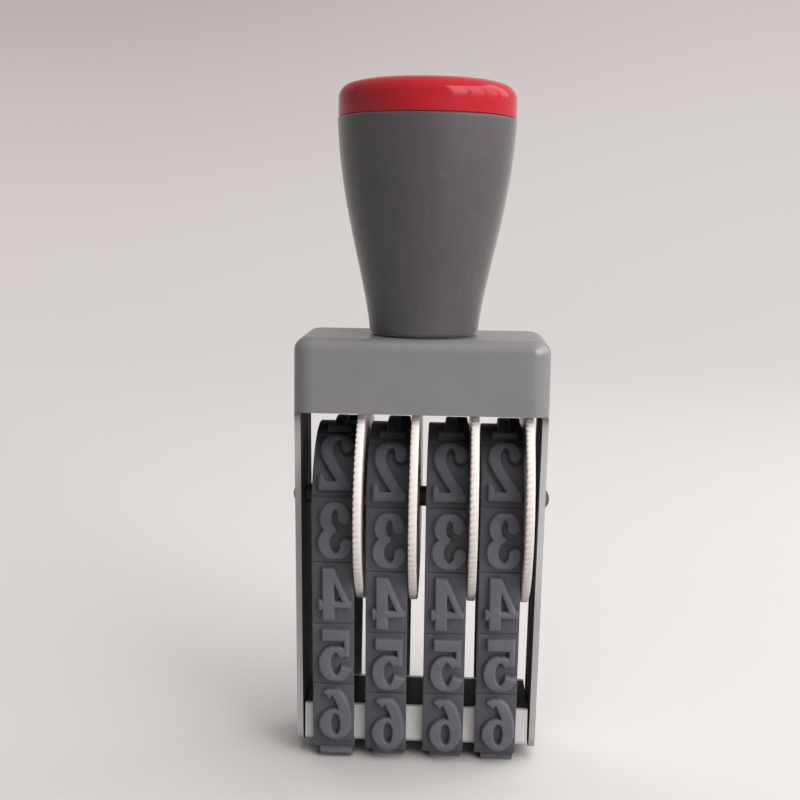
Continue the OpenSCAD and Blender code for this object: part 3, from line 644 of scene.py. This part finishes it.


class Paint:
    """One node material with short helpers; coordinates are metres in the piece's own frame."""

    def __init__(self, name):
        self.mat = bpy.data.materials.new(name)
        self.mat.use_nodes = True
        self.tree = self.mat.node_tree
        self.bsdf = self.tree.nodes["Principled BSDF"]
        self.coords = self.node("ShaderNodeTexCoord").outputs["Object"]

    def node(self, kind, **values):
        made = self.tree.nodes.new(kind)
        for key, value in values.items():
            setattr(made, key, value)
        return made

    def wire(self, out, socket):
        self.tree.links.new(out, socket)

    def fixed(self, **values):
        for key, value in values.items():
            self.bsdf.inputs[key.replace("_", " ")].default_value = value

    def noise(self, scale, detail=4.0, rough=0.6, stretch=(1, 1, 1)):
        where = self.coords
        if stretch != (1, 1, 1):
            mapping = self.node("ShaderNodeMapping")
            mapping.inputs["Scale"].default_value = stretch
            self.wire(where, mapping.inputs["Vector"])
            where = mapping.outputs["Vector"]
        made = self.node("ShaderNodeTexNoise")
        made.inputs["Scale"].default_value = scale
        made.inputs["Detail"].default_value = detail
        made.inputs["Roughness"].default_value = rough
        self.wire(where, made.inputs["Vector"])
        return made.outputs["Fac"]

    def spread(self, value, low, high, to_low=0.0, to_high=1.0):
        made = self.node("ShaderNodeMapRange", clamp=True)
        limits = {"From Min": low, "From Max": high, "To Min": to_low, "To Max": to_high}
        for key, number in limits.items():
            made.inputs[key].default_value = number
        self.wire(value, made.inputs["Value"])
        return made.outputs["Result"]

    def math(self, kind, a, b):
        made = self.node("ShaderNodeMath", operation=kind)
        for socket, value in zip(made.inputs, (a, b)):
            if isinstance(value, (int, float)):
                socket.default_value = value
            else:
                self.wire(value, socket)
        return made.outputs[0]

    def mix(self, factor, a, b):
        made = self.node("ShaderNodeMix", data_type="RGBA")
        self.wire(factor, made.inputs["Factor"])
        for socket, value in ((made.inputs[6], a), (made.inputs[7], b)):
            if isinstance(value, tuple):
                socket.default_value = (*value, 1)
            else:
                self.wire(value, socket)
        return made.outputs[2]

    def edges(self, radius_mm, low=0.02, high=0.25):
        """1 on edges that stick out or turn in, 0 on plain faces."""
        bevel = self.node("ShaderNodeBevel", samples=6)
        bevel.inputs["Radius"].default_value = radius_mm * MM
        plain = self.node("ShaderNodeNewGeometry").outputs["Normal"]
        dot = self.node("ShaderNodeVectorMath", operation="DOT_PRODUCT")
        self.wire(bevel.outputs["Normal"], dot.inputs[0])
        self.wire(plain, dot.inputs[1])
        return self.spread(self.math("SUBTRACT", 1.0, dot.outputs["Value"]), low, high)

    def hollows(self, reach_mm):
        """1 deep in corners and gaps, 0 in the open."""
        made = self.node("ShaderNodeAmbientOcclusion", samples=6, only_local=True)
        made.inputs["Distance"].default_value = reach_mm * MM
        return self.spread(made.outputs["AO"], 0.35, 0.95, 1.0, 0.0)

    def axes(self):
        """X, Y and Z of a point, and of the way its face looks."""
        place, facing = self.node("ShaderNodeSeparateXYZ"), self.node("ShaderNodeSeparateXYZ")
        self.wire(self.coords, place.inputs[0])
        self.wire(self.node("ShaderNodeNewGeometry").outputs["True Normal"], facing.inputs[0])
        return place.outputs, facing.outputs

    def inside(self):
        """1 on the faces of the frame that look inwards, or down from under its top plate, which get
        painted shade.
        """
        place, facing = self.axes()
        found = []
        for axis, limit in INNER_SIDES:
            outward = self.math("MULTIPLY", place[axis], facing[axis])
            found.append(self.spread(outward, -limit, 0.6 * -limit, 1.0, 0.0))
        return self.math("MAXIMUM", self.math("MAXIMUM", found[0], found[1]), found[2])

    def leg_edges(self):
        """1 on the narrow front and rear edges of the legs, below the frame's lips."""
        place, facing = self.axes()
        ahead = self.spread(self.math("ABSOLUTE", facing["Y"], 0.0), 0.5, 0.8)
        below = self.spread(place["Z"], LIP_LOW - 0.002, LIP_LOW - 0.0005, 1.0, 0.0)
        return self.math("MULTIPLY", ahead, below)

    def bump(self, height, strength, depth_mm):
        made = self.node("ShaderNodeBump")
        made.inputs["Strength"].default_value = strength
        made.inputs["Distance"].default_value = depth_mm * MM
        self.wire(height, made.inputs["Height"])
        self.wire(made.outputs["Normal"], self.bsdf.inputs["Normal"])

    def colour(self, out):
        self.wire(out, self.bsdf.inputs["Base Color"])

    def rough(self, out):
        self.wire(out, self.bsdf.inputs["Roughness"])


def grey_enamel():
    p = Paint("grey_enamel")
    cloud = p.spread(p.noise(120, 3), 0.3, 0.7)
    speck = p.spread(p.noise(5200, 2), 0.55, 0.8)
    worn = p.math("MULTIPLY", p.edges(0.22), p.spread(p.noise(700, 5), 0.42, 0.62))
    inner = p.inside()
    tone = p.mix(cloud, (0.176, 0.174, 0.182), (0.204, 0.2, 0.207))
    tone = p.mix(p.math("MULTIPLY", speck, 0.08), tone, (0.3, 0.296, 0.298))
    tone = p.mix(p.math("MULTIPLY", worn, 0.5), tone, (0.47, 0.46, 0.45))
    tone = p.mix(p.leg_edges(), tone, (0.4, 0.395, 0.4))
    # painted shade: the frame's inner faces are painted near black
    p.colour(p.mix(inner, tone, (0.045, 0.044, 0.049)))
    outer_rough = p.spread(p.noise(500, 3), 0.3, 0.7, 0.28, 0.36)
    p.rough(p.math("MAXIMUM", outer_rough, p.math("MULTIPLY", inner, 0.95)))
    p.fixed(Specular_IOR_Level=1.0)
    p.bump(p.noise(700, 2), 0.05, 0.02)
    return p.mat


def grey_plastic():
    p = Paint("grey_plastic")
    cloud = p.spread(p.noise(90, 3), 0.3, 0.7)
    streak = p.spread(p.noise(900, 4, 0.6, (1, 1, 0.06)), 0.55, 0.75)
    scuff = p.spread(p.noise(420, 6, 0.7), 0.6, 0.72)
    tone = p.mix(cloud, (0.056, 0.052, 0.053), (0.068, 0.063, 0.064))
    tone = p.mix(p.math("MULTIPLY", streak, 0.25), tone, (0.125, 0.118, 0.118))
    p.colour(p.mix(p.math("MULTIPLY", scuff, 0.25), tone, (0.16, 0.152, 0.152)))
    p.rough(p.spread(p.noise(1500, 4), 0.3, 0.7, 0.42, 0.54))
    p.fixed(Specular_IOR_Level=0.6, Sheen_Weight=0.8, Sheen_Roughness=0.3)
    p.bump(p.noise(3600, 3), 0.3, 0.025)
    return p.mat


def red_plastic():
    p = Paint("red_plastic")
    cloud = p.spread(p.noise(110, 3), 0.3, 0.7)
    tone = p.mix(cloud, (0.42, 0.011, 0.019), (0.47, 0.015, 0.023))
    hair = p.spread(p.noise(2400, 3, 0.6, (1, 0.05, 1)), 0.66, 0.74)
    p.colour(p.mix(p.math("MULTIPLY", hair, 0.2), tone, (0.55, 0.055, 0.065)))
    p.rough(p.spread(p.noise(700, 5), 0.35, 0.7, 0.09, 0.15))
    p.fixed(Specular_IOR_Level=0.27)
    p.bump(p.noise(260, 2), 0.06, 0.03)
    return p.mat


def pale_nylon():
    p = Paint("pale_nylon")
    cloud = p.spread(p.noise(200, 3), 0.3, 0.7)
    tone = p.mix(cloud, (0.84, 0.765, 0.73), (0.88, 0.82, 0.785))
    # painted shade: darker brown in the wheels' hollows, varied by noise
    hollow_shade = p.math("MULTIPLY", p.hollows(0.6), p.spread(p.noise(600, 4), 0.35, 0.7, 0.08, 0.3))
    p.colour(p.mix(hollow_shade, tone, (0.42, 0.3, 0.26)))
    p.rough(p.spread(p.noise(1300, 4), 0.3, 0.7, 0.36, 0.52))
    p.fixed(Subsurface_Weight=0.12, Subsurface_Radius=(1.0, 0.6, 0.45), Subsurface_Scale=0.0006)
    p.bump(p.noise(2600, 3), 0.2, 0.02)
    return p.mat


def grey_rubber():
    p = Paint("grey_rubber")
    cloud = p.spread(p.noise(260, 4), 0.3, 0.7)
    # painted light and shade: the raised figures get a lighter tone than the belt's ground
    shaded_ground = p.mix(cloud, (0.077, 0.077, 0.089), (0.099, 0.098, 0.111))
    face = p.mix(cloud, (0.118, 0.118, 0.134), (0.151, 0.15, 0.168))
    raised = p.node("ShaderNodeAttribute", attribute_name="raised").outputs["Fac"]
    tone = p.mix(raised, shaded_ground, face)
    dust = p.spread(p.noise(900, 5), 0.3, 0.65, 0.25, 0.8)
    dust = p.math("MULTIPLY", p.edges(0.3, 0.03, 0.35), dust)
    tone = p.mix(dust, tone, (0.165, 0.163, 0.171))
    # painted shade: the belts darken towards the top, under the frame's top plate
    height = p.node("ShaderNodeSeparateXYZ")
    p.wire(p.coords, height.inputs[0])
    top_shade = p.spread(height.outputs["Z"], TOP_SHADE_LOW, TOP_SHADE_HIGH)
    top_shade = p.math("MULTIPLY", top_shade, p.spread(p.noise(180, 4), 0.25, 0.7, 0.75, 1.0))
    tone = p.mix(top_shade, tone, (0.016, 0.016, 0.021))
    # painted shade: darker in the hollows round the figures
    p.colour(p.mix(p.math("MULTIPLY", p.hollows(0.9), 0.45), tone, (0.04, 0.039, 0.045)))
    p.rough(p.spread(p.noise(1700, 4), 0.3, 0.7, 0.46, 0.6))
    p.fixed(Specular_IOR_Level=0.35, Sheen_Weight=0.08, Sheen_Roughness=0.4)
    p.bump(p.noise(4200, 3), 0.3, 0.02)
    return p.mat


def steel(name, dark, light, rough_low, rough_high, stretch, metal=1.0):
    p = Paint(name)
    grain = p.noise(5000, 3, 0.6, stretch)
    p.colour(p.mix(p.spread(grain, 0.3, 0.7), dark, light))
    stain = p.math("MULTIPLY", p.spread(p.noise(500, 5), 0.4, 0.75), 0.1)
    p.rough(p.math("ADD", p.spread(grain, 0.3, 0.7, rough_low, rough_high), stain))
    p.fixed(Metallic=metal)
    p.bump(grain, 0.2, 0.015)
    return p.mat


def black_plastic():
    p = Paint("black_plastic")
    cloud = p.spread(p.noise(400, 4), 0.3, 0.7)
    p.colour(p.mix(cloud, (0.009, 0.009, 0.011), (0.016, 0.015, 0.018)))
    p.rough(p.spread(p.noise(1800, 4), 0.3, 0.7, 0.5, 0.65))
    p.fixed(Specular_IOR_Level=0.2)
    p.bump(p.noise(3200, 3), 0.3, 0.03)
    return p.mat


def dress(obj, mat):
    obj.data.materials.clear()
    obj.data.materials.append(mat)


front_grids, rear_grids = ([figure_grid(f) for f in group] for group in figures())
rubber, nylon = grey_rubber(), pale_nylon()
for i in range(UNITS):
    dress(build_belt(i, front_grids, rear_grids), rubber)
    dress(build_wheel(i), nylon)
dress(build_grip(), grey_plastic())
dress(build_lid(), red_plastic())

bright = steel("bright_steel", (0.5, 0.49, 0.48), (0.68, 0.67, 0.65), 0.24, 0.36, (0.08, 1, 1))
# painted shade: the axle's steel is dark brown, as it looks in the shade between wheels and belts
axle_shade = steel("dark_steel", (0.1, 0.083, 0.075), (0.16, 0.135, 0.122), 0.5, 0.62, (0.08, 1, 1))
platen = steel("platen_steel", (0.64, 0.635, 0.62), (0.74, 0.73, 0.71), 0.4, 0.5, (0.05, 1, 1), 0.3)
dress(build_axle(), axle_shade)
for side, way in (("left", -1), ("right", 1)):
    dress(build_rivet(side, way), bright)
finishes = {  # material of each CAD node that stays
    "frame": grey_enamel(),
    "platen_channel": platen,
    "platen_core": black_plastic(),
    "handle_screw": bright,
    "plate_washer": bright,
    "lock_washer": bright,
    "hex_nut": bright,
}
for name, mat in finishes.items():
    dress(nodes[name], mat)
    smooth(nodes[name])


# ---------------------------------------------------------------- stage, light and camera
def stage_material():
    """Pale sweep: a lit floor that keeps the shadow, turning into a glowing backdrop away from the object;
    both carry painted light, lighter towards the right.
    """
    mat = bpy.data.materials.new("pale_sweep")
    mat.use_nodes = True
    tree = mat.node_tree
    tree.nodes.clear()
    new, link = tree.nodes.new, tree.links.new
    place = new("ShaderNodeTexCoord")
    axes = new("ShaderNodeSeparateXYZ")
    link(place.outputs["Object"], axes.inputs[0])

    def ramp(value, low, high):
        made = new("ShaderNodeMapRange")
        made.interpolation_type = "SMOOTHSTEP"
        made.inputs["From Min"].default_value = low
        made.inputs["From Max"].default_value = high
        link(value, made.inputs["Value"])
        return made.outputs["Result"]

    def blend(factor, a, b):
        made = new("ShaderNodeMix")
        made.data_type = "RGBA"
        link(factor, made.inputs["Factor"])
        for socket, value in ((made.inputs[6], a), (made.inputs[7], b)):
            if isinstance(value, tuple):
                socket.default_value = (*value, 1)
            else:
                link(value, socket)
        return made.outputs[2]

    # painted light: floor and backdrop lighter towards the right, the backdrop darker higher up
    across = ramp(axes.outputs["X"], -0.35, 0.35)
    upward = ramp(axes.outputs["Z"], 0.0, 0.5)
    near = blend(across, (0.59, 0.568, 0.56), (0.7, 0.677, 0.668))
    far_low = blend(across, (0.67, 0.625, 0.615), (0.72, 0.685, 0.675))
    far_high = blend(across, (0.38, 0.325, 0.32), (0.57, 0.505, 0.495))
    wall = blend(upward, far_low, far_high)
    glow = new("ShaderNodeEmission")
    link(wall, glow.inputs["Color"])
    back = new("ShaderNodeBsdfDiffuse")
    link(wall, back.inputs["Color"])
    rays = new("ShaderNodeLightPath")
    seen = new("ShaderNodeMath")
    seen.operation = "MAXIMUM"
    link(rays.outputs["Is Camera Ray"], seen.inputs[0])
    link(rays.outputs["Is Glossy Ray"], seen.inputs[1])
    bounced = blend(across, (0.16, 0.152, 0.15), (0.44, 0.424, 0.419))
    floor = new("ShaderNodeBsdfDiffuse")
    link(blend(seen.outputs[0], bounced, near), floor.inputs["Color"])
    wall_shade = new("ShaderNodeMixShader")
    link(seen.outputs[0], wall_shade.inputs[0])
    link(back.outputs[0], wall_shade.inputs[1])
    link(glow.outputs[0], wall_shade.inputs[2])
    far = new("ShaderNodeVectorMath")
    far.operation = "LENGTH"
    link(place.outputs["Object"], far.inputs[0])
    even = new("ShaderNodeMath")
    even.operation = "MAXIMUM"
    link(ramp(axes.outputs["Y"], 0.1, 0.7), even.inputs[0])
    link(ramp(far.outputs["Value"], 0.3, 0.8), even.inputs[1])
    whole = new("ShaderNodeMixShader")
    link(even.outputs[0], whole.inputs[0])
    link(floor.outputs[0], whole.inputs[1])
    link(wall_shade.outputs[0], whole.inputs[2])
    out = new("ShaderNodeOutputMaterial")
    link(whole.outputs[0], out.inputs["Surface"])
    return mat


def build_stage():
    """Floor that curves up into a backdrop, seen from the front."""
    bend_r, front_y, back_y, top_z, half = 0.5, -6.0, 1.0, 2.0, 5.0
    line = [(y, 0.0) for y in (front_y, -0.4, 0.0, 0.25)]
    line += [
        (back_y - bend_r + bend_r * math.sin(a), bend_r - bend_r * math.cos(a))
        for a in np.radians(np.linspace(0, 90, 25))
    ]
    line += [(back_y, top_z)]
    verts = [(x, y, z) for y, z in line for x in (-half, half)]
    faces = [(2 * i, 2 * i + 1, 2 * i + 3, 2 * i + 2) for i in range(len(line) - 1)]
    mesh = bpy.data.meshes.new("pale_sweep")
    mesh.from_pydata(verts, [], faces)
    obj = bpy.data.objects.new("pale_sweep", mesh)
    bpy.context.scene.collection.objects.link(obj)
    mesh.polygons.foreach_set("use_smooth", [True] * len(mesh.polygons))
    mesh.materials.append(stage_material())


def soft_box(name, place, aim, size, level, tint=(1, 1, 1)):
    """Lamp at place; at level 1 a surface at aim that faces it renders as its colour is written."""
    lamp = bpy.data.lights.new(name, "AREA")
    lamp.shape = "RECTANGLE"
    lamp.size, lamp.size_y = size
    away = Vector(place) - Vector(aim)
    lamp.energy = level * math.pi**2 * away.length_squared
    lamp.color = tint
    obj = bpy.data.objects.new(name, lamp)
    bpy.context.scene.collection.objects.link(obj)
    obj.location = place
    obj.rotation_euler = away.to_track_quat("Z", "Y").to_euler()
    return obj


build_stage()
AIM = (0.0, 0.0, 0.055)
WINDOW = ((42, 0.38), (67, 0.28), (92, 0.17), (117, 0.15))  # degrees from the front, and level
PANE, PANE_H, PANE_TINT = (0.4, 0.8), 0.6, (1.0, 0.985, 0.975)
FILLS = {  # place, size and level; not seen in reflections
    "fill_front": ((0.7, -1.2, 0.1), (1.2, 0.2), 0.3),
    "fill_back": ((-0.55, 0.6, 0.4), (0.5, 0.5), 0.25),
    "sky_top": ((0.3, -0.1, 1.3), (2.0, 1.1), 1.0),
}
for pane, (turn, level) in enumerate(WINDOW, 1):
    side = math.radians(turn)
    place = (math.sin(side), -math.cos(side), PANE_H)
    soft_box(f"window_pane_{pane}", place, AIM, PANE, level, PANE_TINT)
for name, (place, size, level) in FILLS.items():
    soft_box(name, place, AIM, size, level).visible_glossy = False


def build_world():
    """Pale room as the camera and reflections see it, and a dim even light on the object."""
    world = bpy.data.worlds.new("studio")
    bpy.context.scene.world = world
    world.use_nodes = True
    tree = world.node_tree
    dim = tree.nodes["Background"]
    dim.inputs["Color"].default_value = (1.0, 0.98, 0.975, 1)
    dim.inputs["Strength"].default_value = 0.04
    pale = tree.nodes.new("ShaderNodeBackground")
    pale.inputs["Color"].default_value = (0.55, 0.515, 0.505, 1)
    rays = tree.nodes.new("ShaderNodeLightPath")
    seen = rays.outputs["Is Camera Ray"]
    for kind in ("Is Glossy Ray", "Is Transmission Ray"):
        either = tree.nodes.new("ShaderNodeMath")
        either.operation = "MAXIMUM"
        tree.links.new(seen, either.inputs[0])
        tree.links.new(rays.outputs[kind], either.inputs[1])
        seen = either.outputs[0]
    both = tree.nodes.new("ShaderNodeMixShader")
    tree.links.new(seen, both.inputs[0])
    tree.links.new(dim.outputs[0], both.inputs[1])
    tree.links.new(pale.outputs[0], both.inputs[2])
    tree.links.new(both.outputs[0], tree.nodes["World Output"].inputs["Surface"])


build_world()

FOCAL_PX, IMAGE_PX, SENSOR_MM = 1200.5, 800, 36
EYE_MM = (5.05, -199.421, 90.382)
PITCH_DEG, YAW_DEG, ROLL_DEG = 8.601, 2.538, 0.846


def build_camera():
    """Camera at the photograph's viewing angle."""
    p, w, r = (math.radians(x) for x in (PITCH_DEG, YAW_DEG, ROLL_DEG))
    ahead = Vector((-math.sin(w) * math.cos(p), math.cos(w) * math.cos(p), -math.sin(p)))
    right = Vector((math.cos(w), math.sin(w), 0))
    up = right.cross(ahead)
    side = math.cos(r) * right + math.sin(r) * up
    top = -math.sin(r) * right + math.cos(r) * up
    data = bpy.data.cameras.new("photo_camera")
    data.sensor_width = SENSOR_MM
    data.lens = FOCAL_PX / IMAGE_PX * SENSOR_MM
    data.clip_start, data.clip_end = 0.01, 20
    cam = bpy.data.objects.new("photo_camera", data)
    bpy.context.scene.collection.objects.link(cam)
    turned = Matrix((side, top, -ahead)).transposed().to_4x4()
    cam.matrix_world = Matrix.Translation(Vector(EYE_MM) * MM) @ turned
    bpy.context.scene.camera = cam


build_camera()
bpy.context.scene.view_settings.view_transform = "Standard"
